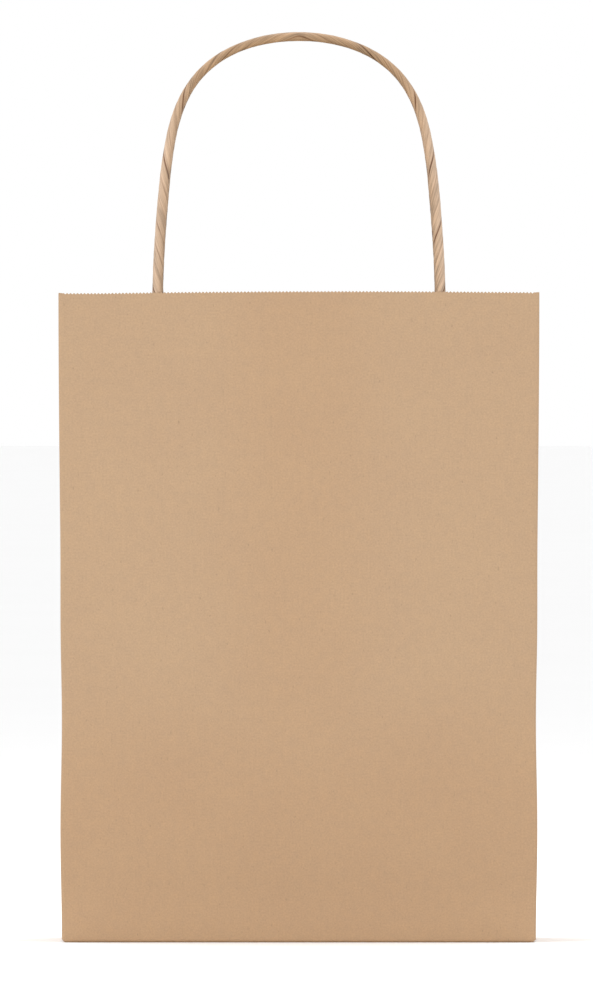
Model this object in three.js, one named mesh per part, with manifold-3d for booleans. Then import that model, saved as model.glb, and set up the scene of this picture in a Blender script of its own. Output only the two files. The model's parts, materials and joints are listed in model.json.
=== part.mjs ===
// Gift bag: a kraft paper carrier standing open, with two twisted paper handles.
// Millimetres, +Z up. The origin is the middle of the base, on the ground.
// +X is the bag's right seen from the front, and the front face looks towards -Y.
import * as THREE from "three";
import { mergeVertices } from "three/addons/utils/BufferGeometryUtils.js";
import Module from "manifold-3d";

// ---------- driving dimensions ----------
const WIDTH = 180;
const DEPTH = 80;
const HEIGHT = 243;
const PAPER = 0.15; // one layer of 110 g/m2 kraft paper
const GLUE_LINE = 0.05; // between two layers lying on each other
const FOLD_GAP = 0.05; // half the slit left along each crease
const DIAGONAL_GAP = 0.3; // slit left along the slanted creases of the gussets
const FOOT = DEPTH / 2; // height of the crease that lets the base fold up behind the back
const TOOTH_PITCH = 1.3; // pinked rim
const TOOTH_DEPTH = 0.4;

// The four bottom flaps, folded in and glued over each other
const FLAP_LENGTH = 50;
const TUCK_LENGTH = 50;
const TUCK_INSET = 4; // room for the folded gusset beside the tuck

// Seam of the tube: a strip of the body sheet glued behind the back panel
const SEAM_WIDTH = 16;
const SEAM_INSET = 3; // clear of the corner, so that the gusset can close on the back

// Handles: a cord of twisted paper whose ends are glued between two paper strips
const CORD = 3.6; // diameter of the free cord
const LEG_SPACING = 106;
const ARCH_HEIGHT = 93.4; // from the bend at the rim to the middle of the cord at the top
const LEG_LEAN = 8; // each leg leans in by this much on its way up
const SHOULDER = 6.2; // high for legs that stay straight up to round shoulders, 2 for a half ellipse
const BEND_HEIGHT = 2.1; // the cord bends this far above the rim
const CORD_INSET = 2.1; // cord axis behind the face of the panel
const END_WIDTH = 4.6; // a glued end is pressed to an oval
const END_THICKNESS = 2.4;
const END_LENGTH = 38;
const STRIP_WIDTH = 140;
const STRIP_HEIGHT = 40;
const STRIP_DROP = 4; // top edge of the strips below the rim
const BUMP_HALF_WIDTH = 6.5; // the cover strip runs over a glued end in a soft bump
const BUMP_HEIGHT = 2.62;

// ---------- levels worked out from them ----------
const halfWidth = WIDTH / 2;
const halfDepth = DEPTH / 2;
const wallInside = halfDepth - PAPER; // inner face of the front and back panels
const sideInside = halfWidth - PAPER;
const layer = PAPER + GLUE_LINE;
const rearFlapLevel = layer;
const tuckLevel = 2 * layer;

const X = new THREE.Vector3(1, 0, 0);
const Y = new THREE.Vector3(0, 1, 0);
const Z = new THREE.Vector3(0, 0, 1);

const kraft = { color: 0xcaaa88, roughness: 0.9 };
const stripPaper = { color: 0xc6a480, roughness: 0.92 };
const cordPaper = { color: 0xd6b692, roughness: 0.8 };

const bag = new THREE.Group();
bag.name = "gift_bag";

function add(name, geometry, finish) {
  const material = new THREE.MeshStandardMaterial({
    color: finish.color,
    roughness: finish.roughness,
    metalness: 0,
  });
  const mesh = new THREE.Mesh(geometry, material);
  mesh.name = name;
  bag.add(mesh);
}

// A flat sheet: the outline lies in the plane of u and v, its thickness goes along u x v.
function sheet(outline, u, v, origin, thickness = PAPER) {
  const shape = new THREE.Shape(outline.map(([a, b]) => new THREE.Vector2(a, b)));
  const solid = new THREE.ExtrudeGeometry(shape, { depth: thickness, bevelEnabled: false });
  const across = new THREE.Vector3().crossVectors(u, v);
  const place = new THREE.Matrix4().makeBasis(u, v, across).setPosition(...origin);
  return solid.applyMatrix4(place);
}

// The pinked top edge, from one end to the other: sharp teeth whose tips reach the rim.
function rim(from, to) {
  const teeth = Math.round(Math.abs(to - from) / TOOTH_PITCH);
  const points = [];
  for (let i = 0; i <= 2 * teeth; i++) {
    const along = from + ((to - from) * i) / (2 * teeth);
    points.push([along, i % 2 ? HEIGHT : HEIGHT - TOOTH_DEPTH]);
  }
  return points;
}

// ---------- panels ----------
const panelFoot = [
  [-halfWidth, 0],
  [halfWidth, 0],
];
const panelRim = rim(halfWidth, -halfWidth);
add("front_panel", sheet([...panelFoot, ...panelRim], X, Z, [0, -wallInside, 0]), kraft);

const backFoldEdge = [
  [-halfWidth, FOOT + FOLD_GAP],
  [halfWidth, FOOT + FOLD_GAP],
];
add("back_panel", sheet([...backFoldEdge, ...panelRim], X, Z, [0, halfDepth, 0]), kraft);

const backFoot = [
  ...panelFoot,
  [halfWidth, FOOT - FOLD_GAP],
  [-halfWidth, FOOT - FOLD_GAP],
];
add("back_panel_foot", sheet(backFoot, X, Z, [0, halfDepth, 0]), kraft);

// The seam lap lies on the inside of the back panel and is creased with it.
const lapTo = halfWidth - SEAM_INSET;
const lapFrom = lapTo - SEAM_WIDTH;
const lapFace = wallInside - GLUE_LINE;
const lapUpper = [
  [lapFrom, FOOT + FOLD_GAP],
  [lapTo, FOOT + FOLD_GAP],
  ...rim(lapTo, lapFrom),
];
add("side_seam_lap", sheet(lapUpper, X, Z, [0, lapFace, 0]), kraft);
const lapLower = [
  [lapFrom, SEAM_INSET],
  [lapTo, SEAM_INSET],
  [lapTo, FOOT - FOLD_GAP],
  [lapFrom, FOOT - FOLD_GAP],
];
add("side_seam_lap_foot", sheet(lapLower, X, Z, [0, lapFace, 0]), kraft);

// ---------- gussets ----------
// Each side is creased down its middle and along the slanted lines of its foot.
const cornerY = wallInside - FOLD_GAP;
const frontHalf = [
  [-cornerY, halfDepth - cornerY + DIAGONAL_GAP],
  [-FOLD_GAP, FOOT - FOLD_GAP + DIAGONAL_GAP],
  ...rim(-FOLD_GAP, -cornerY),
];
const rearHalf = [
  [FOLD_GAP, FOOT + 2 * FOLD_GAP],
  [cornerY, FOOT + 2 * FOLD_GAP],
  ...rim(cornerY, FOLD_GAP),
];
const cornerWeb = [
  [-cornerY, 0],
  [cornerY, 0],
  [cornerY, halfDepth - cornerY],
  [0, FOOT],
  [-cornerY, halfDepth - cornerY],
];
const rearWeb = [
  [cornerY, halfDepth - cornerY + DIAGONAL_GAP],
  [cornerY, FOOT - FOLD_GAP],
  [FOLD_GAP + DIAGONAL_GAP, FOOT - FOLD_GAP],
];
const sides = [
  ["left", -halfWidth],
  ["right", sideInside],
];
for (const [side, outerX] of sides) {
  add(side + "_gusset_front_half", sheet(frontHalf, Y, Z, [outerX, 0, 0]), kraft);
  add(side + "_gusset_rear_half", sheet(rearHalf, Y, Z, [outerX, 0, 0]), kraft);
  add(side + "_corner_web", sheet(cornerWeb, Y, Z, [outerX, 0, 0]), kraft);
  add(side + "_rear_web", sheet(rearWeb, Y, Z, [outerX, 0, 0]), kraft);
}

// ---------- base ----------
// Front and rear flaps are mitred to the corners and lap over each other in the middle.
const flapX = sideInside - FOLD_GAP;
const flapFree = -cornerY + FLAP_LENGTH;
const flap = [
  [-flapX, -cornerY],
  [flapX, -cornerY],
  [flapX - FLAP_LENGTH, flapFree],
  [-flapX + FLAP_LENGTH, flapFree],
];
const rearFlap = flap.map(([x, y]) => [-x, -y]);
add("bottom_front_flap", sheet(flap, X, Y, [0, 0, 0]), kraft);
add("bottom_rear_flap", sheet(rearFlap, X, Y, [0, 0, rearFlapLevel]), kraft);
const tuckY = cornerY - TUCK_INSET;
const tuck = [
  [-flapX, -tuckY],
  [-flapX + TUCK_LENGTH, -tuckY],
  [-flapX + TUCK_LENGTH, tuckY],
  [-flapX, tuckY],
];
const otherTuck = tuck.map(([x, y]) => [-x, -y]);
add("bottom_tuck_left", sheet(tuck, X, Y, [0, 0, tuckLevel]), kraft);
add("bottom_tuck_right", sheet(otherTuck, X, Y, [0, 0, tuckLevel]), kraft);

// ---------- handles ----------
const wasm = await Module();
wasm.setup();

function manifold(geometry) {
  const bare = geometry.clone();
  bare.deleteAttribute("normal");
  bare.deleteAttribute("uv");
  const merged = mergeVertices(bare, 1e-4);
  return new wasm.Manifold(
    new wasm.Mesh({
      numProp: 3,
      vertProperties: merged.attributes.position.array,
      triVerts: new Uint32Array(merged.index.array),
    }),
  );
}

function joined(geometries) {
  const [first, ...others] = geometries.map(manifold);
  const mesh = others.reduce((sum, next) => sum.add(next), first).getMesh();
  const geometry = new THREE.BufferGeometry();
  geometry.setAttribute("position", new THREE.BufferAttribute(mesh.vertProperties, 3));
  geometry.setIndex(new THREE.BufferAttribute(mesh.triVerts, 1));
  return geometry;
}

// Centre line of the arch, standing on the bends at the rim: two leaning legs and a round top.
const ARCH_SAMPLES = 400;
const ARCH_STEPS = 56;
const CORD_FACETS = 12;
const bendZ = HEIGHT + BEND_HEIGHT;
function archPath(y) {
  const points = [];
  for (let i = 0; i <= ARCH_SAMPLES; i++) {
    const turn = (Math.PI * i) / ARCH_SAMPLES;
    const rise = Math.abs(Math.sin(turn)) ** (2 / SHOULDER);
    const x = (LEG_SPACING / 2 - LEG_LEAN * rise) * Math.cos(turn);
    points.push(new THREE.Vector3(x, y, bendZ + ARCH_HEIGHT * rise));
  }
  const even = new THREE.CatmullRomCurve3(points, false, "centripetal");
  even.arcLengthDivisions = 2 * ARCH_SAMPLES;
  return new THREE.CatmullRomCurve3(even.getSpacedPoints(ARCH_STEPS), false, "centripetal");
}

function handleCord(y) {
  const round = new THREE.Shape();
  round.absarc(0, 0, CORD / 2, 0, 2 * Math.PI, false);
  const arch = new THREE.ExtrudeGeometry(round, {
    steps: ARCH_STEPS,
    curveSegments: CORD_FACETS / 2,
    extrudePath: archPath(y),
  });
  // Rounded ends, so that the leg can turn on the bend without lifting off it
  const balls = [-1, 1].map((way) =>
    new THREE.SphereGeometry(CORD / 2, CORD_FACETS, CORD_FACETS / 2)
      .rotateZ(Math.PI / 2)
      .translate((way * LEG_SPACING) / 2, y, bendZ),
  );
  return joined([arch, ...balls]);
}

const ends = [
  ["left", -LEG_SPACING / 2],
  ["right", LEG_SPACING / 2],
];

// A glued end: the cord pressed to an oval between the two strips
function cordEnd(x, y) {
  const oval = new THREE.Shape();
  oval.absellipse(0, 0, END_WIDTH / 2, END_THICKNESS / 2, 0, 2 * Math.PI, false, 0);
  const solid = new THREE.ExtrudeGeometry(oval, {
    depth: END_LENGTH,
    curveSegments: 8,
    bevelEnabled: false,
  });
  return solid.translate(x, y, HEIGHT - END_LENGTH);
}

// How far the cover strip stands off the backing strip at x
function bump(x) {
  const off = Math.abs(Math.abs(x) - LEG_SPACING / 2) / BUMP_HALF_WIDTH;
  return off < 1 ? (BUMP_HEIGHT * (1 + Math.cos(Math.PI * off))) / 2 : 0;
}

const BUMP_FACETS = 16;
const stripX = [-STRIP_WIDTH / 2];
for (const [, x] of ends) {
  for (let i = 0; i <= BUMP_FACETS; i++) {
    stripX.push(x + BUMP_HALF_WIDTH * ((2 * i) / BUMP_FACETS - 1));
  }
}
stripX.push(STRIP_WIDTH / 2);

// Both strips are drawn from above, with "in" counted from the panel's inner face.
function backingStrip(panelFace, inward) {
  const near = panelFace + inward * GLUE_LINE;
  const outline = [
    [-STRIP_WIDTH / 2, near],
    [STRIP_WIDTH / 2, near],
    [STRIP_WIDTH / 2, near + inward * PAPER],
    [-STRIP_WIDTH / 2, near + inward * PAPER],
  ];
  return standing(outline, inward);
}

function coverStrip(panelFace, inward) {
  const near = (x) => panelFace + inward * (layer + GLUE_LINE + bump(x));
  const outline = [
    ...stripX.map((x) => [x, near(x)]),
    ...[...stripX].reverse().map((x) => [x, near(x) + inward * PAPER]),
  ];
  return standing(outline, inward);
}

function standing(outline, inward) {
  const drawn = inward > 0 ? outline : [...outline].reverse();
  const foot = HEIGHT - STRIP_DROP - STRIP_HEIGHT;
  return sheet(drawn, X, Y, [0, 0, foot], STRIP_HEIGHT);
}

const walls = [
  ["front", -wallInside, 1],
  ["rear", wallInside, -1],
];
const endInset = layer + GLUE_LINE + END_THICKNESS / 2;
for (const [wall, face, inward] of walls) {
  add(wall + "_handle_cord", handleCord(inward * (CORD_INSET - halfDepth)), cordPaper);
  add(wall + "_strip_backing", backingStrip(face, inward), stripPaper);
  add(wall + "_strip_cover", coverStrip(face, inward), stripPaper);
  for (const [side, x] of ends) {
    const end = cordEnd(x, face + inward * endInset);
    add(wall + "_cord_end_" + side, end, cordPaper);
  }
}

export default bag;
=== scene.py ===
# Looks for the gift bag: kraft paper panels with soft folds, a pinked rim and twisted paper cord.
import json
import math

import bpy
import numpy as np
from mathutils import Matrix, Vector


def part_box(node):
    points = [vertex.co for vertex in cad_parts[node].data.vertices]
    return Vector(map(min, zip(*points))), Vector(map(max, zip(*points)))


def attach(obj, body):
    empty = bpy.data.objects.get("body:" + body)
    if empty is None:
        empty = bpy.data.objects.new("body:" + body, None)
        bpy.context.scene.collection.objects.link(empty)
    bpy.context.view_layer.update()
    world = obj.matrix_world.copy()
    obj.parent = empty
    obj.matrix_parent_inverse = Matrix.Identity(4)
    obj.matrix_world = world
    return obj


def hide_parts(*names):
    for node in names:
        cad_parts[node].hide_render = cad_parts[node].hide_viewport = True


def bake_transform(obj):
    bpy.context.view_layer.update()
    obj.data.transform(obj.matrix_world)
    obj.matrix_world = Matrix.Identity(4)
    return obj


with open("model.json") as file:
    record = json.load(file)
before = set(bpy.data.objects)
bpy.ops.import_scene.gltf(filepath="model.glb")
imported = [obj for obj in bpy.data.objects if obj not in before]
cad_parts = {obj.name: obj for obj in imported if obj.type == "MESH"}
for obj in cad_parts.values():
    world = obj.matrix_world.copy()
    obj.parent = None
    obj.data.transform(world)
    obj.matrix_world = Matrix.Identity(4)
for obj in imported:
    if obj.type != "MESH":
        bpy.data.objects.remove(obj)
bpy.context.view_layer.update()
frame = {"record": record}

# ---------- sizes, in metres, from the CAD ----------
MM = 0.001
front_low, front_high = (np.array(v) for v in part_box("front_panel"))
HALF_W = float(front_high[0])
HALF_D = float(-front_low[1])
HEIGHT = float(front_high[2])
PAPER = float(front_high[1] - front_low[1])
FOOT = HALF_D  # height of the creases that let the base fold up
FOLD = 1.3 * MM  # radius of the folds, which turn on the joints' axes
CREASE = 1.0 * MM  # half the width of the paper that bends at a flat crease
SLIT = 0.05 * MM  # from a slanted crease to the paper on each side of it
PLANE_W = HALF_W - FOLD
PLANE_D = HALF_D - FOLD
GLUE = 0.05 * MM
LAP = PAPER + 0.02 * MM  # how far an edge is tucked in to pass under another
REAR_LEVEL = PAPER + GLUE  # the rear flap lies on the front one, and the side flaps on both
TUCK_LEVEL = 2 * REAR_LEVEL

joints = {joint["name"]: joint for joint in frame["record"]["behaviour"]["joints"]}
cord_low, cord_high = (np.array(v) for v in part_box("front_handle_cord"))
CORD_R = float(cord_high[1] - cord_low[1]) / 2
LEG = float(cord_high[0]) - CORD_R  # from the middle of the bag to each leg
BEND = float(joints["front_handle_tilt"]["pos_m"][2])
CORD_Y = float(joints["rear_handle_tilt"]["pos_m"][1])
ARCH = float(cord_high[2]) - CORD_R - BEND + 0.4 * MM  # height of the arch over the bend

# Distances round the outside of the unfolded sheet, from the middle of the front: see tube()
ARC = FOLD * math.pi / 2
U_FRONT = PLANE_W
U_SIDE = U_FRONT + ARC
U_CREASE = U_SIDE + PLANE_D
U_REAR = U_CREASE + PLANE_D
U_BACK = U_REAR + ARC
U_SEAM = U_BACK + 2 * PLANE_W

# How finely the sheets are divided
ROW = 6 * MM
UNDER_RIM = 1.2 * MM  # from the last full row to the rim
ROLL_STEPS = 7
CAP_TURN = math.radians(87)  # short of a quarter turn, where the cap would have no width
ACROSS = 60
SHARP = math.radians(50)  # edges that turn more than this are drawn sharp


def smooth(t):
    t = np.clip(t, 0.0, 1.0)
    return t * t * (3 - 2 * t)


def points_of(*parts):
    """One array of points from their separate coordinates."""
    return np.stack(np.broadcast_arrays(*parts), axis=-1)


# ---------- the shape of the walls ----------
# The real walls aren't quite flat: the bag narrows a little towards its foot, the front and back
# swell by a millimetre or two, and the gussets keep some of their fold.
NARROWING = 1.0 * MM
NARROW_BY = 0.62  # all of it is reached this share of the way down
FOOT_WAVE = 0.28 * MM
WAVE_FROM, WAVE_FULL = 0.3, 0.66  # shares of the way down: it grows between them, then turns once
BULGE = 1.6 * MM
BULGE_SHAPE = 0.8  # under 1, so it rises early
RIPPLE = 0.35 * MM
RIPPLE_ACROSS = 4.2
RIPPLE_HEIGHT = 34 * MM
RIPPLE_PHASES = (1.3, 0.4)
RIPPLE_FADE = 1 / 3  # the ripple grows from nothing over this share of the height
RIM_BOW = 0.5 * MM
RIM_BOW_FROM = 0.8
GUSSET_PULL = 1.8 * MM
STRAIGHT = 20 * MM  # the back stays flatter this far from its crease
RIM_RISE = 0.75 * MM
RIM_PEAK = 18 * MM  # the rim is highest this far right of the middle
RIM_REACH = 92 * MM
REAR_DROP = 0.6 * MM  # the rear rim is lower, so the teeth of the front one show
TOOTH_PITCH = 1.3 * MM
TOOTH_DEPTH = 0.55 * MM


def narrowing(z):
    down = 1 - z / HEIGHT
    wave = FOOT_WAVE * np.cos(2 * np.pi * (down - WAVE_FULL) / (1 - WAVE_FULL))
    wave = wave * smooth((down - WAVE_FROM) / (WAVE_FULL - WAVE_FROM))
    return NARROWING * smooth(down / NARROW_BY) + wave


def bulge(s, z):
    """How far the front stands out of its plane; s is -1 to 1 across it."""
    across = np.clip(1 - s**2, 0, 1)
    up = z / HEIGHT
    body = BULGE * np.sin(np.pi * np.clip(up, 0, 1)) ** BULGE_SHAPE
    ripple = RIPPLE * np.sin(s * RIPPLE_ACROSS + RIPPLE_PHASES[0])
    ripple = ripple * np.sin(z / RIPPLE_HEIGHT + RIPPLE_PHASES[1]) * smooth(up / RIPPLE_FADE)
    return across * (body + ripple + RIM_BOW * smooth((up - RIM_BOW_FROM) / (1 - RIM_BOW_FROM)))


def back_bulge(s, z):
    """The back is straight along its crease."""
    return bulge(s, z) * smooth(abs(z - FOOT) / STRAIGHT)


def gusset_pull(y, z):
    """How far the gusset is drawn in."""
    return GUSSET_PULL * smooth((z - FOOT) / (HEIGHT - FOOT)) * (1 - abs(y) / PLANE_D)


def tube(u, z, lift=0.0):
    """Points of the bag's outer face at u and z, and the way they face. lift moves them inwards.

    u is 0 down the middle of the front and grows to the right, to the rear corner. To the left it
    runs round the left gusset and the back as well, to the cut edge at the right rear corner.
    """
    side = np.where(u < 0, -1.0, 1.0)
    a = np.abs(u)
    plane = PLANE_W - narrowing(z)
    s_front = u / PLANE_W
    s_back = 1 - (a - U_BACK) / PLANE_W
    y_side = a - U_CREASE
    turn1, turn2, turn3 = ((a - start) / FOLD for start in (U_FRONT, U_REAR, U_SEAM))
    zero = 0 * u * z
    one = zero + 1
    beyond = one > 0
    where = [a <= U_FRONT, a <= U_SIDE, a <= U_REAR, a <= U_BACK, a <= U_SEAM, beyond]
    nx = np.select(where, [zero, side * np.sin(turn1), side * one, side * np.cos(turn2),
                           zero, -side * np.sin(turn3)])
    ny = np.select(where, [-one, -np.cos(turn1), zero, np.sin(turn2), one, np.cos(turn3)])
    x = np.select(where, [
        s_front * plane,
        side * plane + FOLD * nx,
        side * (plane + FOLD - gusset_pull(y_side, z)),
        side * plane + FOLD * nx,
        side * s_back * plane,
        -side * plane + FOLD * nx,
    ])
    y = np.select(where, [
        -(HALF_D + bulge(s_front, z)),
        -PLANE_D + FOLD * ny,
        y_side,
        PLANE_D + FOLD * ny,
        HALF_D + back_bulge(s_back, z),
        PLANE_D + FOLD * ny,
    ])
    normal = points_of(nx, ny, zero)
    return points_of(x, y, z) - normal * np.asarray(lift)[..., None], normal


def rim(u, teeth):
    """Height of the cut edge at each u; teeth is 1 at a tip and 0 at a notch."""
    x, y, _ = tube(u, HEIGHT + 0 * u)[0].T
    rise = RIM_RISE * np.clip(1 - ((x - RIM_PEAK) / RIM_REACH) ** 2, 0, 1)
    drop = REAR_DROP * smooth((y + HALF_D) / (2 * HALF_D))
    return HEIGHT + rise - TOOTH_DEPTH * (1 - teeth) - drop


# ---------- materials ----------
PAPER_TINT = (0.443, 0.297, 0.181)
STRIP_TINT = (0.418, 0.276, 0.164)
# painted shade at the foot of the front and a painted warm reflection down its middle: the tint they take
PAINTED_SHADE_AND_REFLECTION_TINT = (0.985, 0.95, 0.915)  # the tint is multiplied by this at the foot and down the middle
FOOT_PAINTED_SHADE = (50 * MM, 112 * MM)  # full up to the first height, gone at the second
# painted light that brightens the last stretch of the foot
FOOT_PAINTED_LIGHT = 0.07  # the last stretch turns away from the lights, and the photo shows it as bright
FOOT_PAINTED_LIGHT_TOP = 26 * MM
# the painted warm reflection down the middle of the front: how strong, and the width over which it fades
MIDDLE_PAINTED_REFLECTION = 0.7
MIDDLE_REFLECTION_WIDTH = (4 * MM, 44 * MM)
# how much darker the creases are drawn: partly the pressed paper's own mark, partly painted shade
CREASE_PAINTED_SHADE = 0.13
# Mottling: its scale, and how much it changes the brightness
GRAIN = (1500, 0.34)
FLOCKS = (260, 0.14)
CLOUDS = (22, 0.07)
MACHINE = (900, 0.06)  # faint marks drawn out up the sheet
MACHINE_STRETCH = 0.12
FIBRES = ((1100, 0.5, 0.45), (1200, -0.9, 0.4))  # scale, turn and stretch
SPECK_LIMIT = 0.70  # only the peaks of the fibres show
SPECK_GAIN = 6.0
SPECK_SHARE = 0.6
SPECK_DARK = 0.55

CORD_TINT = (0.556, 0.393, 0.270)
# painted shade in the grooves of the rolled-in edges
SEAM_PAINTED_SHADE_TINT = (0.135, 0.055, 0.024)
# painted shade on the inside of the cord's arch, as a share of its brightness
INNER_PAINTED_SHADE = 0.2
# The rolled-in edges of the twisted paper, by their angle round the cord: grooves in the shape, with
# painted shade in them
SEAM_ANGLES = (0.0, 2.35, 4.25)
SEAM_WIDTHS = (0.16, 0.12, 0.13)
SEAM_DEPTHS = (0.05, 0.028, 0.038)
SEAM_PAINTED_SHADES = (1.0, 0.3, 0.45)
# Streaks: their scale, and how much of it goes along the cord
FINE = (2100, 0.05)
FOLDS = (900, 0.10)
PATCHES = (160, 0.6)
# a noise that breaks up the painted seam shade in patches along the cord
SEAM_SHADE_BREAKUP = (110, 1.0)


class Material:
    """A new material, with short ways to add its nodes."""

    def __init__(self, name):
        self.made = bpy.data.materials.new(name)
        self.made.use_nodes = True
        tree = self.made.node_tree
        tree.nodes.clear()
        self.new, self.link = tree.nodes.new, tree.links.new

    def maths(self, operation, *values, clamp=False):
        node = self.new("ShaderNodeMath")
        node.operation = operation
        node.use_clamp = clamp
        for socket, value in zip(node.inputs, values):
            if isinstance(value, (int, float)):
                socket.default_value = value
            else:
                self.link(value, socket)
        return node.outputs[0]

    def sway(self, source, amount, middle=0.0):
        """A noise of 0 to 1 as a change of amount in all, about a middle."""
        return self.maths("MULTIPLY_ADD", source, amount, middle - amount / 2)

    def paper_place(self):
        """The two coordinates of the UV map that every piece has."""
        source = self.new("ShaderNodeUVMap")
        source.uv_map = "paper"
        parts = self.new("ShaderNodeSeparateXYZ")
        self.link(source.outputs[0], parts.inputs[0])
        return source.outputs[0], parts.outputs["X"], parts.outputs["Y"]

    def noise(self, vector, scale, detail=3.0, rough=0.5):
        node = self.new("ShaderNodeTexNoise")
        node.inputs["Scale"].default_value = scale
        node.inputs["Detail"].default_value = detail
        node.inputs["Roughness"].default_value = rough
        self.link(vector, node.inputs["Vector"])
        return node.outputs[0]

    def stretched(self, vector, turn, along):
        """The vector turned in the paper's plane, and its second coordinate scaled."""
        node = self.new("ShaderNodeMapping")
        node.inputs["Rotation"].default_value = (0, 0, turn)
        node.inputs["Scale"].default_value = (1, along, 1)
        self.link(vector, node.inputs["Vector"])
        return node.outputs[0]

    def fade(self, value, start, stop, full):
        """full up to start, falling to 0 at stop."""
        node = self.new("ShaderNodeMapRange")
        node.interpolation_type = "SMOOTHSTEP"
        node.inputs["From Min"].default_value = start
        node.inputs["From Max"].default_value = stop
        node.inputs["To Min"].default_value = full
        node.inputs["To Max"].default_value = 0.0
        self.link(value, node.inputs["Value"])
        return node.outputs[0]

    def mix(self, share, first, second):
        """Two colours mixed. The first may come from a node."""
        node = self.new("ShaderNodeMix")
        node.data_type = "RGBA"
        if isinstance(first, tuple):
            node.inputs[6].default_value = (*first, 1)
        else:
            self.link(first, node.inputs[6])
        node.inputs[7].default_value = (*second, 1)
        if share is not None:
            self.link(share, node.inputs[0])
        else:
            node.inputs[0].default_value = 0.0
        return node.outputs[2]

    def toned(self, colour, value, saturation, hue=None):
        """A colour with its brightness multiplied by value, then its saturation and hue moved."""
        bright = self.new("ShaderNodeVectorMath")
        bright.operation = "SCALE"
        self.link(colour, bright.inputs[0])
        self.link(value, bright.inputs["Scale"])
        node = self.new("ShaderNodeHueSaturation")
        self.link(bright.outputs[0], node.inputs["Color"])
        self.link(saturation, node.inputs["Saturation"])
        if hue is not None:
            self.link(hue, node.inputs["Hue"])
        return node.outputs[0]

    def surface(self, colour, roughness, specular, relief, strength, distance):
        out = self.new("ShaderNodeOutputMaterial")
        bsdf = self.new("ShaderNodeBsdfPrincipled")
        self.link(bsdf.outputs[0], out.inputs[0])
        self.link(colour, bsdf.inputs["Base Color"])
        self.link(roughness, bsdf.inputs["Roughness"])
        bsdf.inputs["Specular IOR Level"].default_value = specular
        bump = self.new("ShaderNodeBump")
        bump.inputs["Strength"].default_value = strength
        bump.inputs["Distance"].default_value = distance
        self.link(relief, bump.inputs["Height"])
        self.link(bump.outputs[0], bsdf.inputs["Normal"])
        return self.made


def crease_lines(mat, u, z):
    """1 on the pressed creases of the gussets and the foot, on the unfolded sheet, where the paper is
    drawn darker: partly its own pressed mark, partly painted shade.
    """
    def line(distance, half):
        return mat.maths("SUBTRACT", 1.0, mat.maths("DIVIDE", mat.maths("ABSOLUTE", distance), half),
                         clamp=True)

    out = mat.maths("ABSOLUTE", u)
    off = mat.maths("ABSOLUTE", mat.maths("SUBTRACT", out, U_CREASE))
    upright_line = mat.maths("MULTIPLY", line(off, 0.5 * MM), mat.maths("GREATER_THAN", z, FOOT))
    from_slant = mat.maths("SUBTRACT", mat.maths("ADD", off, z), FOOT)
    in_side = mat.maths("LESS_THAN", off, PLANE_D + FOLD)
    slanted_line = mat.maths("MULTIPLY", line(from_slant, 0.7 * MM), in_side)
    behind = mat.maths("GREATER_THAN", out, U_CREASE)
    level_line = mat.maths("MULTIPLY", line(mat.maths("SUBTRACT", z, FOOT), 0.5 * MM), behind)
    return mat.maths("MAXIMUM", mat.maths("MAXIMUM", upright_line, slanted_line), level_line)


def kraft(name, tint, specks=1.0, body_sheet=True):
    """Smooth brown kraft: fine fibre mottling, soft clouds, sparse dark specks, a matt face.

    The body sheet also has its creases, drawn darker, partly as painted shade; painted shade at its foot,
    with painted light on its last stretch; and a painted warm reflection down the middle of the front.
    """
    mat = Material(name)
    where, u, z = mat.paper_place()
    grain = mat.noise(where, GRAIN[0], 2.0, 0.55)
    flocks = mat.noise(where, FLOCKS[0], 3.0, 0.55)
    clouds = mat.noise(where, CLOUDS[0], 2.0, 0.55)
    machine = mat.noise(mat.stretched(where, 0, MACHINE_STRETCH), MACHINE[0], 2.0)
    value = mat.sway(grain, GRAIN[1], 1.0)
    for source, (_, amount) in ((flocks, FLOCKS), (clouds, CLOUDS), (machine, MACHINE)):
        value = mat.maths("ADD", value, mat.sway(source, amount))
    painted_shade_and_reflection = None
    if body_sheet:
        # painted light on the last stretch of the foot
        value = mat.maths("ADD", value, mat.fade(z, 0.0, FOOT_PAINTED_LIGHT_TOP, FOOT_PAINTED_LIGHT))
        # a painted warm reflection down the middle, and painted shade at the foot
        middle = mat.fade(mat.maths("ABSOLUTE", u), *MIDDLE_REFLECTION_WIDTH, MIDDLE_PAINTED_REFLECTION)
        painted_shade_and_reflection = mat.maths("MAXIMUM", mat.fade(z, *FOOT_PAINTED_SHADE, 1.0), middle)
        # the creases drawn darker, partly as painted shade
        value = mat.maths("SUBTRACT", value, mat.maths("MULTIPLY", crease_lines(mat, u, z), CREASE_PAINTED_SHADE))
    # specks of bark: short dark fibres that lie two ways
    fibres = [mat.noise(mat.stretched(where, turn, along), scale, 1.0) for scale, turn, along in FIBRES]
    speck = mat.maths("SUBTRACT", mat.maths("MAXIMUM", *fibres), SPECK_LIMIT, clamp=True)
    speck = mat.maths("MULTIPLY", speck, SPECK_GAIN * specks, clamp=True)
    # the tint moves towards its painted shade and reflection tint
    body = mat.mix(painted_shade_and_reflection, tint, tuple(c * f for c, f in zip(tint, PAINTED_SHADE_AND_REFLECTION_TINT)))
    speck_tint = tuple(c * SPECK_DARK for c in tint)
    body = mat.mix(mat.maths("MULTIPLY", speck, SPECK_SHARE), body, speck_tint)
    # the clouds also lean the hue a little between yellow and red
    colour = mat.toned(body, value, mat.sway(flocks, 0.05, 1.0), mat.sway(clouds, 0.003, 0.5))
    relief = mat.maths("ADD", mat.maths("MULTIPLY", grain, 0.5), mat.maths("MULTIPLY", flocks, 0.9))
    relief = mat.maths("ADD", relief, mat.maths("MULTIPLY", machine, 0.5))
    return mat.surface(colour, mat.sway(flocks, 0.22, 0.77), 0.28, relief, 0.35, 0.06 * MM)


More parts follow.
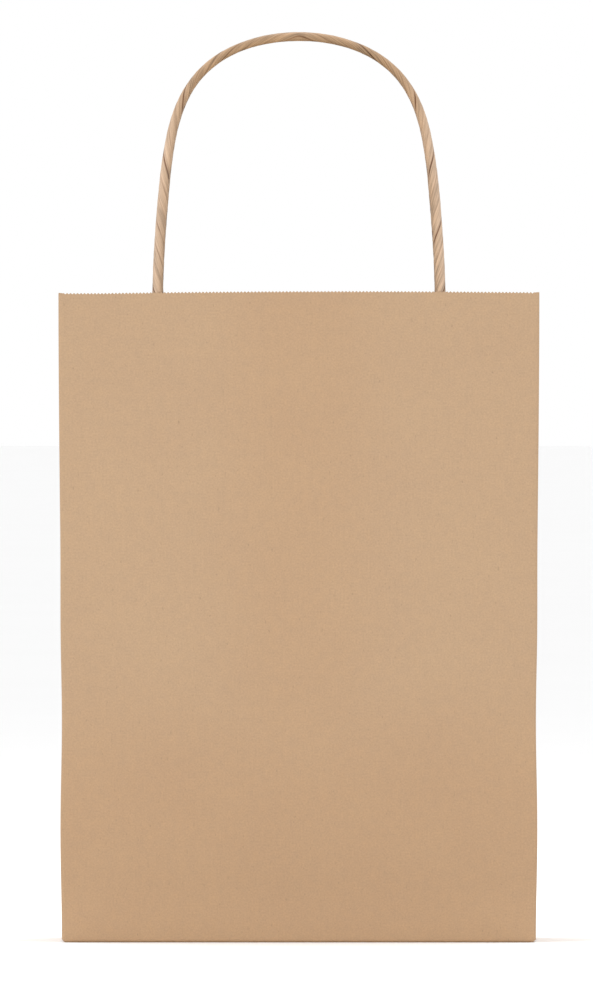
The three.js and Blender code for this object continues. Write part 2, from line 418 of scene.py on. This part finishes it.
def seam_lines(mat, angle, breakup):
    """1 in the rolled-in edges of the cord's paper, where painted shade fills their grooves, weaker in
    patches along the cord.
    """
    seams = None
    for place, width, strength in zip(SEAM_ANGLES, SEAM_WIDTHS, SEAM_PAINTED_SHADES):
        near = mat.maths("COSINE", mat.maths("SUBTRACT", angle, place))
        limit = math.cos(width * 1.5)
        line = mat.maths("MULTIPLY", mat.maths("SUBTRACT", near, limit), 1 / (1 - limit), clamp=True)
        line = mat.maths("MULTIPLY", line, strength)
        seams = line if seams is None else mat.maths("ADD", seams, line, clamp=True)
    kept = mat.maths("MULTIPLY_ADD", breakup, 3.2, -0.95, clamp=True)
    return mat.maths("MULTIPLY", seams, mat.maths("MULTIPLY_ADD", kept, 0.75, 0.25))


def twisted_paper(name, tint, dark):
    """Paper twisted into a cord: streaks that run round it, painted shade in the grooves of the rolled-in
    edges, on the inside of the arch and over its top.
    """
    mat = Material(name)
    _, along, turns = mat.paper_place()
    angle = mat.maths("MULTIPLY", turns, 2 * math.pi)

    def streaks(scale, stretch, detail=3.0):
        joined = mat.new("ShaderNodeCombineXYZ")
        mat.link(mat.maths("MULTIPLY", mat.maths("COSINE", angle), CORD_R), joined.inputs[0])
        mat.link(mat.maths("MULTIPLY", mat.maths("SINE", angle), CORD_R), joined.inputs[1])
        mat.link(mat.maths("MULTIPLY", along, stretch), joined.inputs[2])
        return mat.noise(joined.outputs[0], scale, detail)

    fine, folds, patches = (streaks(*kind) for kind in (FINE, FOLDS, PATCHES))
    seams = seam_lines(mat, angle, streaks(*SEAM_SHADE_BREAKUP, detail=1.0))
    # painted shade on the inside of the arch and over its top, from the cord's own attribute
    shade = mat.new("ShaderNodeAttribute")
    shade.attribute_name = "painted_shade_inside_and_top"
    painted_shade = shade.outputs["Fac"]
    # painted shade: darker in the valleys of the fold streaks, where the relief is low
    crease = mat.maths("MULTIPLY_ADD", folds, -3.4, 1.72, clamp=True)
    value = mat.maths("ADD", mat.sway(fine, 0.9, 1.01), mat.sway(patches, 0.3))
    value = mat.maths("SUBTRACT", value, mat.maths("MULTIPLY", crease, 0.4))
    value = mat.maths("SUBTRACT", value, mat.maths("MULTIPLY", painted_shade, INNER_PAINTED_SHADE))
    # the painted shade also makes the inside and top more saturated
    painted_shade_saturation = mat.maths("MULTIPLY_ADD", painted_shade, 0.20, 0.945)
    # the colour moves towards the painted seam shade in the grooves
    colour = mat.toned(mat.mix(seams, tint, dark), value, painted_shade_saturation)
    relief = mat.maths("MULTIPLY_ADD", fine, 0.35, folds)
    relief = mat.maths("SUBTRACT", relief, mat.maths("MULTIPLY", seams, 0.8))
    return mat.surface(colour, mat.sway(folds, 0.3, 0.57), 0.35, relief, 0.6, 0.25 * MM)


paper = kraft("kraft_paper", PAPER_TINT)
strip_paper = kraft("strip_paper", STRIP_TINT, specks=1.4, body_sheet=False)
cord_paper = twisted_paper("twisted_cord_paper", CORD_TINT, SEAM_PAINTED_SHADE_TINT)


# ---------- pieces ----------
def signed_volume(points, faces):
    """Six times the volume inside the faces, below 0 where they face inwards."""
    fans = np.array([(f[0], f[k], f[k + 1]) for f in faces for k in range(1, len(f) - 1)])
    a, b, c = (points[fans[:, k]] for k in range(3))
    return float(np.sum(a * np.cross(b, c)))


def make_object(name, points, faces, corner_uvs, material):
    mesh = bpy.data.meshes.new(name)
    mesh.from_pydata([tuple(point) for point in points], [], faces)
    layer = mesh.uv_layers.new(name="paper")
    layer.data.foreach_set("uv", np.array(corner_uvs, np.float32).reshape(-1))
    if signed_volume(points, faces) < 0:
        mesh.flip_normals()
    mesh.polygons.foreach_set("use_smooth", [True] * len(mesh.polygons))
    mesh.materials.append(material)
    made = bpy.data.objects.new(name, mesh)
    bpy.context.scene.collection.objects.link(made)
    return made


def sheet(name, outer, normal, uv, material=paper):
    """A closed thin sheet from a grid of outer points, the way they face, and their UVs."""
    rows, cols = outer.shape[:2]
    back = rows * cols
    points = np.concatenate([outer.reshape(-1, 3), (outer - normal * PAPER).reshape(-1, 3)])
    uvs = np.concatenate([uv.reshape(-1, 2), uv.reshape(-1, 2)])
    faces = []
    for r in range(rows - 1):
        for c in range(cols - 1):
            a = r * cols + c
            faces.append((a, a + 1, a + cols + 1, a + cols))
            faces.append((back + a, back + a + cols, back + a + cols + 1, back + a + 1))
    edge = [(c, c + 1) for c in range(cols - 1)]
    edge += [((r + 1) * cols - 1, (r + 2) * cols - 1) for r in range(rows - 1)]
    edge += [(back - 1 - c, back - 2 - c) for c in range(cols - 1)]
    edge += [((rows - 1 - r) * cols, (rows - 2 - r) * cols) for r in range(rows - 1)]
    faces += [(b, a, back + a, back + b) for a, b in edge]
    made = make_object(name, points, faces, uvs[np.concatenate(faces)], material)
    made.data.set_sharp_from_angle(angle=SHARP)
    return made


def pinked(u0, u1, fine=1):
    """Columns with one at each tip and notch of the rim and fine - 1 between, and their teeth."""
    n = 2 * fine * max(1, int(round(abs(u1 - u0) / TOOTH_PITCH)))
    saw = (np.arange(n + 1) / fine) % 2
    return np.linspace(u0, u1, n + 1), np.minimum(saw, 2 - saw)


def upright(name, u0, u1, low, lift=None, fine=1):
    """A piece of the tube up to the pinked rim; low is the height of its lower edge at each u."""
    u, teeth = pinked(u0, u1, fine)
    foot = low(u)
    rows = np.linspace(0, 1, int((HEIGHT - float(np.min(foot))) / ROW) + 2)[:, None]
    z = np.vstack([foot + rows * (HEIGHT - UNDER_RIM - foot), rim(u, teeth)])
    u = np.repeat(u[None, :], len(z), axis=0)
    points, normal = tube(u, z, lift(u) if lift else 0.0)
    return sheet(name, points, normal, points_of(u, z))


def between(name, u0, u1, z0, z1, cols, rows):
    """A piece of the tube between two levels."""
    u, z = np.meshgrid(np.linspace(u0, u1, cols), np.linspace(z0, z1, rows))
    points, normal = tube(u, z)
    return sheet(name, points, normal, points_of(u, z))


def finish_piece(nodes):
    if nodes:
        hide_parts(*nodes)


def ride(piece, body, *nodes):
    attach(piece, body)
    finish_piece(nodes)


def bend(piece, a, b, start, end, *nodes):
    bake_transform(piece)
    finish_piece(nodes)


def level(height):
    return lambda u: height + 0 * u


def toe(s, phi, end, way):
    """The roll at the foot of the front (way -1) or back (way 1), phi 0 at the wall."""
    z = FOLD - (FOLD - end) * np.sin(phi)
    y = way * (PLANE_D + FOLD * np.cos(phi) + bulge(s, z))
    return points_of(s * (PLANE_W - narrowing(z)), y, z), points_of(0, way * np.cos(phi), -np.sin(phi))


def corner_cap(name, way, side, end):
    """The rounded corner where two rolls of the base and an upright fold meet."""
    psi, phi = np.meshgrid(np.linspace(0, CAP_TURN, ROLL_STEPS), np.linspace(0, math.pi / 2, ROLL_STEPS))
    sink = end + (TUCK_LEVEL - end) * np.sin(psi)
    z = FOLD - (FOLD - sink) * np.cos(psi) * np.sin(phi)
    x = side * (PLANE_W - narrowing(z) + FOLD * np.sin(psi))
    y = way * (PLANE_D + FOLD * np.cos(psi) * np.cos(phi))
    normal = points_of(side * np.sin(psi), way * np.cos(psi) * np.cos(phi), -np.cos(psi) * np.sin(phi))
    return sheet(name, points_of(x, y, z), normal, points_of(U_FRONT + FOLD * psi, FOLD - FOLD * phi))


# ---------- front ----------
def front_panel():
    """The front wall in one piece with the roll at its foot."""
    columns, teeth = pinked(-PLANE_W, PLANE_W)
    straight = HEIGHT - UNDER_RIM - FOLD
    rows = np.linspace(FOLD, FOLD + straight, int(round(straight / ROW)) + 1)
    z = np.vstack([np.repeat(rows[:, None], len(columns), axis=1), rim(columns, teeth)])
    u = np.repeat(columns[None, :], len(z), axis=0)
    points, normal = tube(u, z)
    s, phi = np.meshgrid(columns / PLANE_W, np.linspace(math.pi / 2, 0, ROLL_STEPS)[:-1])
    roll_points, roll_normal = toe(s, phi, 0.0, -1)
    uv = np.vstack([points_of(s * PLANE_W, FOLD - FOLD * phi), points_of(u, z)])
    return sheet("front", np.vstack([roll_points, points]), np.vstack([roll_normal, normal]), uv)


ride(front_panel(), "front_wall", "front_panel")
for side, label in ((-1, "left"), (1, "right")):
    ride(corner_cap(f"front_{label}_corner", -1, side, 0.0), "front_wall")
    fold = upright(f"front_{label}_fold", side * U_FRONT, side * U_SIDE, level(FOLD), fine=2)
    bend(fold, "front_wall", f"{label}_gusset_front", (0, -HALF_D, 0), (0, -PLANE_D, 0))


# ---------- gussets ----------
WEB_TIP = 0.15 * MM  # the webs stop this short of the points of their triangles
REAR_WEB_TIP = 0.5 * MM
TUCK_FADE = 5 * MM


def gusset_low(u):
    """Lower edge of a gusset: the slanted crease in front of the middle, the foot crease behind."""
    return FOOT + np.minimum(np.abs(u) - U_CREASE, 0) + SLIT


def tucked(u):
    """How far the right gusset dips to pass under the back at the seam."""
    return LAP * smooth((np.abs(u) - U_REAR) / TUCK_FADE + 1)


def gusset(side, label):
    """The two halves of a gusset and the crease between them."""
    ahead, behind = f"{label}_gusset_front", f"{label}_gusset_rear"
    half = upright(f"{label}_gusset_ahead", side * U_SIDE, side * (U_CREASE - CREASE), gusset_low)
    ride(half, ahead, f"{ahead}_half")
    crease = upright(f"{label}_gusset_crease_fold", side * (U_CREASE - CREASE),
                     side * (U_CREASE + CREASE), gusset_low, fine=3)
    bend(crease, ahead, behind, (0, -CREASE, 0), (0, CREASE, 0))
    end, lift = (U_REAR, None) if side < 0 else (U_BACK, tucked)
    half = upright(f"{label}_gusset_behind", side * (U_CREASE + CREASE), side * end, gusset_low, lift, 2)
    ride(half, behind, f"{behind}_half")


def webs(side, label):
    """The triangles at the foot of a gusset, and the fold from the rear one to the back."""
    z, t = np.meshgrid(np.linspace(FOLD, FOOT - WEB_TIP, 14), np.linspace(-1, 1, 41), indexing="ij")
    u = side * (U_CREASE + t * (FOOT - z - SLIT))
    points, normal = tube(u, z)
    ride(sheet(f"{label}_web", points, normal, points_of(u, z)), f"{label}_corner", f"{label}_corner_web")
    y, up = np.meshgrid(np.linspace(REAR_WEB_TIP, PLANE_D, 30), np.linspace(0, 1, 14))
    z = FOOT - y + SLIT + up * (y - 2 * SLIT)
    u = side * (U_CREASE + y)
    points, normal = tube(u, z)
    web = sheet(f"{label}_web_behind", points, normal, points_of(u, z))
    ride(web, f"{label}_rear_corner", f"{label}_rear_web")
    fold = between(f"rear_{label}_foot_fold", side * U_REAR, side * U_BACK, FOLD, FOOT - SLIT, 9, 8)
    bend(fold, f"{label}_rear_corner", "back_foot", (0, PLANE_D, 0), (0, HALF_D, 0))


def side_roll(side, label):
    """The roll along one side of the base."""
    y, beta = np.meshgrid(np.linspace(-PLANE_D, PLANE_D, 21), np.linspace(0, math.pi / 2, ROLL_STEPS))
    z = FOLD - (FOLD - TUCK_LEVEL) * np.cos(beta)
    x = side * (PLANE_W - narrowing(z) + FOLD * np.sin(beta))
    normal = points_of(side * np.sin(beta), 0, -np.cos(beta))
    uv = points_of(side * (U_CREASE + y), FOLD * beta - FOLD)
    roll = sheet(f"{label}_base_fold", points_of(x, y, z), normal, uv)
    bend(roll, "base", f"{label}_corner", (0, 0, TUCK_LEVEL), (0, 0, FOLD))


for side, label in ((-1, "left"), (1, "right")):
    gusset(side, label)
    webs(side, label)
    side_roll(side, label)

# ---------- back ----------
fold = upright("rear_left_fold", -U_REAR, -U_BACK, level(FOOT + SLIT), fine=2)
bend(fold, "left_gusset_rear", "back_wall", (0, PLANE_D, 0), (0, HALF_D, 0))
back = upright("back", -U_BACK, -(U_SEAM + ARC), level(FOOT + CREASE))
ride(back, "back_wall", "back_panel")
crease = between("back_crease_fold", -U_BACK, -U_SEAM, FOOT - CREASE, FOOT + CREASE, ACROSS, 9)
bend(crease, "back_wall", "back_foot", (0, 0, FOOT + CREASE), (0, 0, FOOT - CREASE))
foot = between("back_lower", -U_BACK, -U_SEAM, FOLD, FOOT - CREASE, ACROSS, 8)
ride(foot, "back_foot", "back_panel_foot")


def rear_roll():
    s, phi = np.meshgrid(np.linspace(-1, 1, ACROSS), np.linspace(0, math.pi / 2, ROLL_STEPS))
    points, normal = toe(s, phi, REAR_LEVEL, 1)
    uv = points_of(-(U_BACK + (1 + s) * PLANE_W), FOLD - FOLD * phi)
    return sheet("rear_base_fold", points, normal, uv)


bend(rear_roll(), "back_foot", "base", (0, 0, FOLD), (0, 0, REAR_LEVEL))
for side, label in ((-1, "left"), (1, "right")):
    cap = corner_cap(f"rear_{label}_corner_cap", 1, side, REAR_LEVEL)
    bend(cap, "back_foot", "base", (0, 0, FOLD), (0, 0, REAR_LEVEL))

# ---------- base ----------
BASE_W = PLANE_W - float(narrowing(0.0))
DOWN = (0.0, 0.0, -1.0)
LIP_FADE = 4 * MM  # the front flap comes down to the floor over this depth
flap_reach = float(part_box("bottom_front_flap")[1][1]) + PLANE_D
tuck_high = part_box("bottom_tuck_left")[1]


def front_flap():
    """The flap that lies lowest, with the lip that passes under the foot of the front."""
    s, d = np.meshgrid(np.linspace(-1, 1, ACROSS), np.linspace(0, 1, 26) ** 1.5 * flap_reach)
    x = s * (BASE_W - d)
    points = points_of(x, d - PLANE_D, LAP * (1 - smooth(d / LIP_FADE)))
    normal = np.zeros_like(points) + DOWN
    s, turn = np.meshgrid(np.linspace(-1, 1, ACROSS), np.linspace(math.pi / 2, 0, ROLL_STEPS)[:-1])
    z = FOLD - (FOLD - LAP) * np.cos(turn)
    lip_y = -(PLANE_D + (FOLD - LAP) * np.sin(turn))
    lip_points = points_of(s * (PLANE_W - narrowing(z)), lip_y, z)
    lip_normal = points_of(0, -np.sin(turn), -np.cos(turn))
    uv = np.concatenate([points_of(s * PLANE_W, FOLD * turn), points_of(x, -d)])
    return sheet("base_front_flap", np.vstack([lip_points, points]), np.vstack([lip_normal, normal]), uv)


def rear_flap():
    s, d = np.meshgrid(np.linspace(-1, 1, ACROSS), np.linspace(0, flap_reach, 20))
    x = s * (BASE_W - d)
    points = points_of(x, PLANE_D - d, REAR_LEVEL)
    uv = points_of(-(U_BACK + PLANE_W + x), -d)
    return sheet("base_rear_flap", points, np.zeros_like(points) + DOWN, uv)


def side_flap(side, label):
    y, d = np.meshgrid(np.linspace(-tuck_high[1], tuck_high[1], 24),
                       np.linspace(0, PLANE_W + tuck_high[0], 16))
    points = points_of(side * (BASE_W - d), y, TUCK_LEVEL)
    uv = points_of(side * (U_CREASE + y), -d)
    return sheet(f"base_tuck_{label}", points, np.zeros_like(points) + DOWN, uv)


ride(front_flap(), "base", "bottom_front_flap")
ride(rear_flap(), "base", "bottom_rear_flap")
for side, label in ((-1, "left"), (1, "right")):
    ride(side_flap(side, label), "base", f"bottom_tuck_{label}")

# ---------- strips that hold the handles, and the seam lap ----------
BUMP_HALF_WIDTH = 6.5 * MM
BUMP_HEIGHT = 2.62 * MM
strip_low, strip_high = (np.array(v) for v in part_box("front_strip_cover"))


def on_wall(way, x, z, lift):
    """Points behind the face of the front (way -1) or back (way 1), lift inwards from it."""
    s = x / (PLANE_W - narrowing(z))
    out = HALF_D + (bulge(s, z) if way < 0 else back_bulge(s, z)) - lift
    points = points_of(x, way * out, z)
    return points, np.zeros_like(points) + (0.0, way, 0.0)


def strip_bump(x):
    """How far the covering strip stands off over the two ends of the cord."""
    off = np.clip(abs(abs(x) - LEG) / BUMP_HALF_WIDTH, 0, 1)
    return BUMP_HEIGHT * (1 + np.cos(np.pi * off)) / 2


def strip(way, label, kind, columns, layers):
    x, z = np.meshgrid(np.linspace(strip_low[0], strip_high[0], columns),
                       np.linspace(strip_low[2], strip_high[2], 10))
    covers = kind == "cover"
    lift = layers * (PAPER + GLUE) + (strip_bump(x) if covers else 0.0)
    # each strip has its own place on the paper, so that no two show the same mottling
    uv = points_of(x + 0.3 * (2 + way) + (0.2 if covers else 0), z)
    return sheet(f"{label}_strip_{kind}_paper", *on_wall(way, x, z, lift), uv, strip_paper)


def seam_lap(name, node):
    low, high = (np.array(v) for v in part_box(node))
    x, z = np.meshgrid(np.linspace(low[0], high[0], 25), np.linspace(low[2], high[2] - 0.1 * MM, 24))
    uv = points_of(U_BACK + PLANE_W - x, z)
    return sheet(name, *on_wall(1, x - (HALF_W - PLANE_W), z, PAPER + GLUE), uv)


for way, label, body in ((-1, "front", "front_wall"), (1, "rear", "back_wall")):
    for kind, columns, layers in (("backing", 60, 1), ("cover", 281, 2)):
        piece = strip(way, label, kind, columns, layers)
        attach(piece, body)
        finish_piece([f"{label}_strip_{kind}"])
ride(seam_lap("seam_lap_upper", "side_seam_lap"), "back_wall", "side_seam_lap")
ride(seam_lap("seam_lap_lower", "side_seam_lap_foot"), "back_foot", "side_seam_lap_foot")

# ---------- handles: twisted paper cord ----------
END_THICK = 2.4 * MM  # the glued ends are pressed to an oval
END_WIDE = 4.6 * MM
END_FOOT = float(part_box("front_cord_end_left")[0][2])
END_AXIS = HALF_D - (2 * PAPER + 2 * GLUE + END_THICK / 2)
LEG_LEAN = 8 * MM
SHOULDER = 6.2
LEG_RADIUS = 1.86 * MM
THINNING = 0.16 * MM  # lost at the start of each shoulder, and again on its way over
THIN_STEPS = ((0.3, 0.35), (0.62, 0.25))  # where each starts and how far it takes, up the arch
TOP_SWELL = 0.12 * MM
TOP_FROM = 0.965
REAR_RISE = 0.7 * MM  # the rear arch is this much higher
REAR_TURN = 0.7  # and its twist starts this much further round
TWIST = 0.25 / MM  # radians of twist for each metre of cord
TWIST_TURN = 1.2 * MM  # the twist changes its direction at the top over this length
SEAM_START = 4.29
SWELL = 0.012  # uneven twisting: the change in width, and in the angle
WANDER = 0.12
SEED = 11
LAP_RUN, LAP_EDGE = 0.5, 0.09  # a rolled-in edge slopes gently on one side and steeply on the other
RIDGES = ((0.010, 5, 0.7), (0.008, 9, 2.1))  # size, number round the cord, and phase
OVAL_BELOW, OVAL_FADE = 6 * MM, 5.5 * MM  # oval to this far below the bend, then round
WALL_BELOW = 4 * MM  # lies along the wall to this far below the bend
# painted shade over the top of the arch: its strength, and the share of the arch's height where it starts
# and over which it grows
TOP_PAINTED_SHADE = 1.15
TOP_PAINTED_SHADE_FROM, TOP_PAINTED_SHADE_RUN = 0.55, 0.4
RING_STEP = 0.9 * MM
RING = 60


def cord_centreline(arch_height):
    """Evenly spaced points of the cord from the foot of one glued end over the arch to the other."""
    t = np.linspace(0, np.pi, 4000)
    rise = np.abs(np.sin(t)) ** (2 / SHOULDER)
    arch = points_of(-(LEG - LEG_LEAN * rise**1.35) * np.cos(t), BEND + arch_height * rise)
    leg = np.linspace(END_FOOT, BEND, 600)[:-1]
    path = np.vstack([points_of(-LEG, leg), arch, points_of(LEG, leg)[::-1]])
    run = np.concatenate([[0], np.cumsum(np.linalg.norm(np.diff(path, axis=0), axis=1))])
    at = np.linspace(0, run[-1], int(run[-1] / RING_STEP))
    even = points_of(*(np.interp(at, run, path[:, k]) for k in (0, 1)))
    for _ in range(3):
        even[1:-1] = (even[:-2] + 2 * even[1:-1] + even[2:]) / 4
    return even, at


def cord_radius(up):
    """Half the width of the cord at a height above the bend: thin where it turns over the shoulders."""
    share = up / ARCH
    thin = THINNING * sum(smooth((share - start) / run) for start, run in THIN_STEPS)
    return LEG_RADIUS - thin + TOP_SWELL * smooth((share - TOP_FROM) / (1 - TOP_FROM))


def cord_section(psi):
    """The radius round one section, as a share of the whole: grooves at the seams, and low ridges."""
    groove = np.zeros_like(psi)
    for place, width, depth in zip(SEAM_ANGLES, SEAM_WIDTHS, SEAM_DEPTHS):
        off = (psi - place + np.pi) % (2 * np.pi) - np.pi
        step = np.where(off > 0, np.exp(-off / LAP_RUN), np.exp(off / LAP_EDGE))
        groove += depth * (0.5 * np.exp(-((off / width) ** 2)) + 0.35 * step)
    ridges = sum(size * np.sin(count * psi + phase) for size, count, phase in RIDGES)
    return (1 - groove + ridges) * (1 + 0.2 * groove.mean())


def cord_faces(at):
    """Faces of a closed tube with a section at each place in at, and the UVs of their corners."""
    faces, corners = [], []
    for r in range(len(at) - 1):
        for c in range(RING):
            n = (c + 1) % RING
            faces.append((r * RING + c, r * RING + n, (r + 1) * RING + n, (r + 1) * RING + c))
            v0, v1 = c / RING, (c + 1) / RING
            corners += [(at[r], v0), (at[r], v1), (at[r + 1], v1), (at[r + 1], v0)]
    first, last = len(at) * RING, len(at) * RING + 1
    end_ring = (len(at) - 1) * RING
    for c in range(RING):
        n = (c + 1) % RING
        v0, v1 = c / RING, (c + 1) / RING
        faces += [(n, c, first), (end_ring + c, end_ring + n, last)]
        corners += [(0, v1), (0, v0), (0, v0), (at[-1], v0), (at[-1], v1), (at[-1], v0)]
    return faces, corners


def twisted_cord(name, way, offset):
    path, at = cord_centreline(ARCH + REAR_RISE * offset)
    tangent = np.gradient(path, axis=0)
    tangent /= np.linalg.norm(tangent, axis=1)[:, None]
    normal = points_of(-tangent[:, 1], tangent[:, 0])  # away from the inside of the arch
    up = path[:, 1] - BEND
    rng = np.random.default_rng(SEED + offset)
    swell = np.interp(at, np.linspace(0, at[-1], 40), rng.normal(0, 1, 40))
    wander = np.interp(at, np.linspace(0, at[-1], 24), rng.normal(0, 1, 24))

    # the twist is mirrored about the top of the arch, as in the photo
    half = at[-1] / 2
    twisted = TWIST * (half - np.sqrt((at - half) ** 2 + TWIST_TURN**2))
    psi = np.linspace(0, 2 * np.pi, RING, endpoint=False)
    phi = psi - twisted[:, None] + WANDER * wander[:, None] + SEAM_START + REAR_TURN * offset
    radius = (cord_radius(up) * (1 + SWELL * swell))[:, None] * cord_section(psi)
    glued = 1 - smooth((up + OVAL_BELOW) / OVAL_FADE)[:, None]
    across = radius * np.cos(phi) * (1 + glued * (END_WIDE / 2 / LEG_RADIUS - 1))
    front = radius * np.sin(phi) * (1 - glued * (1 - END_THICK / 2 / LEG_RADIUS))

    # the legs follow the wall up to the rim, and stand in the handle's plane above it
    s = LEG / PLANE_W
    sway = bulge(s, path[:, 1]) if way < 0 else back_bulge(s, path[:, 1])
    on_strip = 1 - smooth((up + WALL_BELOW) / WALL_BELOW)
    centre_y = CORD_Y + on_strip * (END_AXIS - CORD_Y + sway)
    rings = points_of(
        path[:, :1] + normal[:, :1] * across,
        way * centre_y[:, None] - front,
        path[:, 1:] + normal[:, 1:] * across,
    )
    points = np.vstack([rings.reshape(-1, 3), rings[0].mean(axis=0), rings[-1].mean(axis=0)])
    cord = make_object(name, points, *cord_faces(at), cord_paper)

    # painted shade on the cord: darker on the inside of the arch, and all over its top
    top = TOP_PAINTED_SHADE * smooth((up / ARCH - TOP_PAINTED_SHADE_FROM) / TOP_PAINTED_SHADE_RUN)[:, None]
    painted_shade = np.append(0.5 - 0.5 * np.cos(phi) + top, [0.5, 0.5])
    shade = cord.data.attributes.new("painted_shade_inside_and_top", "FLOAT", "POINT")
    shade.data.foreach_set("value", painted_shade.astype(np.float32))
    return cord


for way, label, wall, offset in ((-1, "front", "front_wall", 0), (1, "rear", "back_wall", 1)):
    cord = twisted_cord(f"{label}_twisted_cord", way, offset)
    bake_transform(cord)
    finish_piece([f"{label}_handle_cord", f"{label}_cord_end_left", f"{label}_cord_end_right"])

# ---------- floor, light and camera ----------
FLOOR_REACH = 30.0  # past the camera, which a long lens puts far away
FLOOR_Z = -0.1 * MM
PHOTO_HEIGHT = 374.2 * MM  # what the photo's height covers at the front of the bag
LENS = 1000  # long, because the photo shows almost no perspective
SENSOR = 36
CAMERA_Z = 0.25


def floor_material():
    mat = bpy.data.materials.new("studio_floor")
    mat.use_nodes = True
    nt = mat.node_tree
    bsdf = nt.nodes["Principled BSDF"]
    noise = nt.nodes.new("ShaderNodeTexNoise")
    noise.inputs["Scale"].default_value = 3.0
    coords = nt.nodes.new("ShaderNodeTexCoord")
    nt.links.new(coords.outputs["Object"], noise.inputs["Vector"])
    tone = nt.nodes.new("ShaderNodeMapRange")
    tone.inputs["To Min"].default_value = 0.95
    tone.inputs["To Max"].default_value = 0.97
    nt.links.new(noise.outputs[0], tone.inputs["Value"])
    nt.links.new(tone.outputs[0], bsdf.inputs["Base Color"])
    bsdf.inputs["Roughness"].default_value = 0.95
    bsdf.inputs["Specular IOR Level"].default_value = 0.1
    return mat


def placed(name, data, place, target=None):
    """An object in the scene that looks at its target."""
    made = bpy.data.objects.new(name, data)
    made.location = place
    if target is not None:
        made.rotation_euler = (Vector(target) - Vector(place)).to_track_quat("-Z", "Y").to_euler()
    bpy.context.scene.collection.objects.link(made)
    return made


def floor_sheet():
    """A wide floor, a hair below the bag."""
    mesh = bpy.data.meshes.new("floor")
    corners = [(x, y, FLOOR_Z) for y in (-FLOOR_REACH, FLOOR_REACH) for x in (-FLOOR_REACH, FLOOR_REACH)]
    mesh.from_pydata(corners, [], [(0, 1, 3, 2)])
    mesh.materials.append(floor_material())
    return placed("floor", mesh, (0, 0, 0))


def area_light(name, place, target, size, power):
    data = bpy.data.lights.new(name, "AREA")
    data.shape = "SQUARE"
    data.size = size
    data.energy = power
    placed(name, data, place, target)


def photo_camera():
    aim = (-0.9 * MM, -HALF_D, 165.5 * MM)
    data = bpy.data.cameras.new("camera")
    data.lens = LENS
    data.sensor_width = SENSOR
    data.clip_end = 60
    return placed("camera", data, (aim[0], aim[1] - PHOTO_HEIGHT * LENS / SENSOR, CAMERA_Z), aim)


floor_sheet()
area_light("key", (-1.3, -1.6, 1.5), (0, 0, 0.15), 1.2, 11)
area_light("fill", (1.7, -1.8, 0.9), (0, 0, 0.15), 1.6, 3)
area_light("above", (0, 0.6, 2.4), (0, 0, 0), 2.5, 30)
world = bpy.data.worlds.new("studio")
world.use_nodes = True
world.node_tree.nodes["Background"].inputs["Color"].default_value = (1, 1, 1, 1)
world.node_tree.nodes["Background"].inputs["Strength"].default_value = 1.0
bpy.context.scene.world = world
bpy.context.scene.view_settings.view_transform = "Standard"
bpy.context.scene.camera = photo_camera()
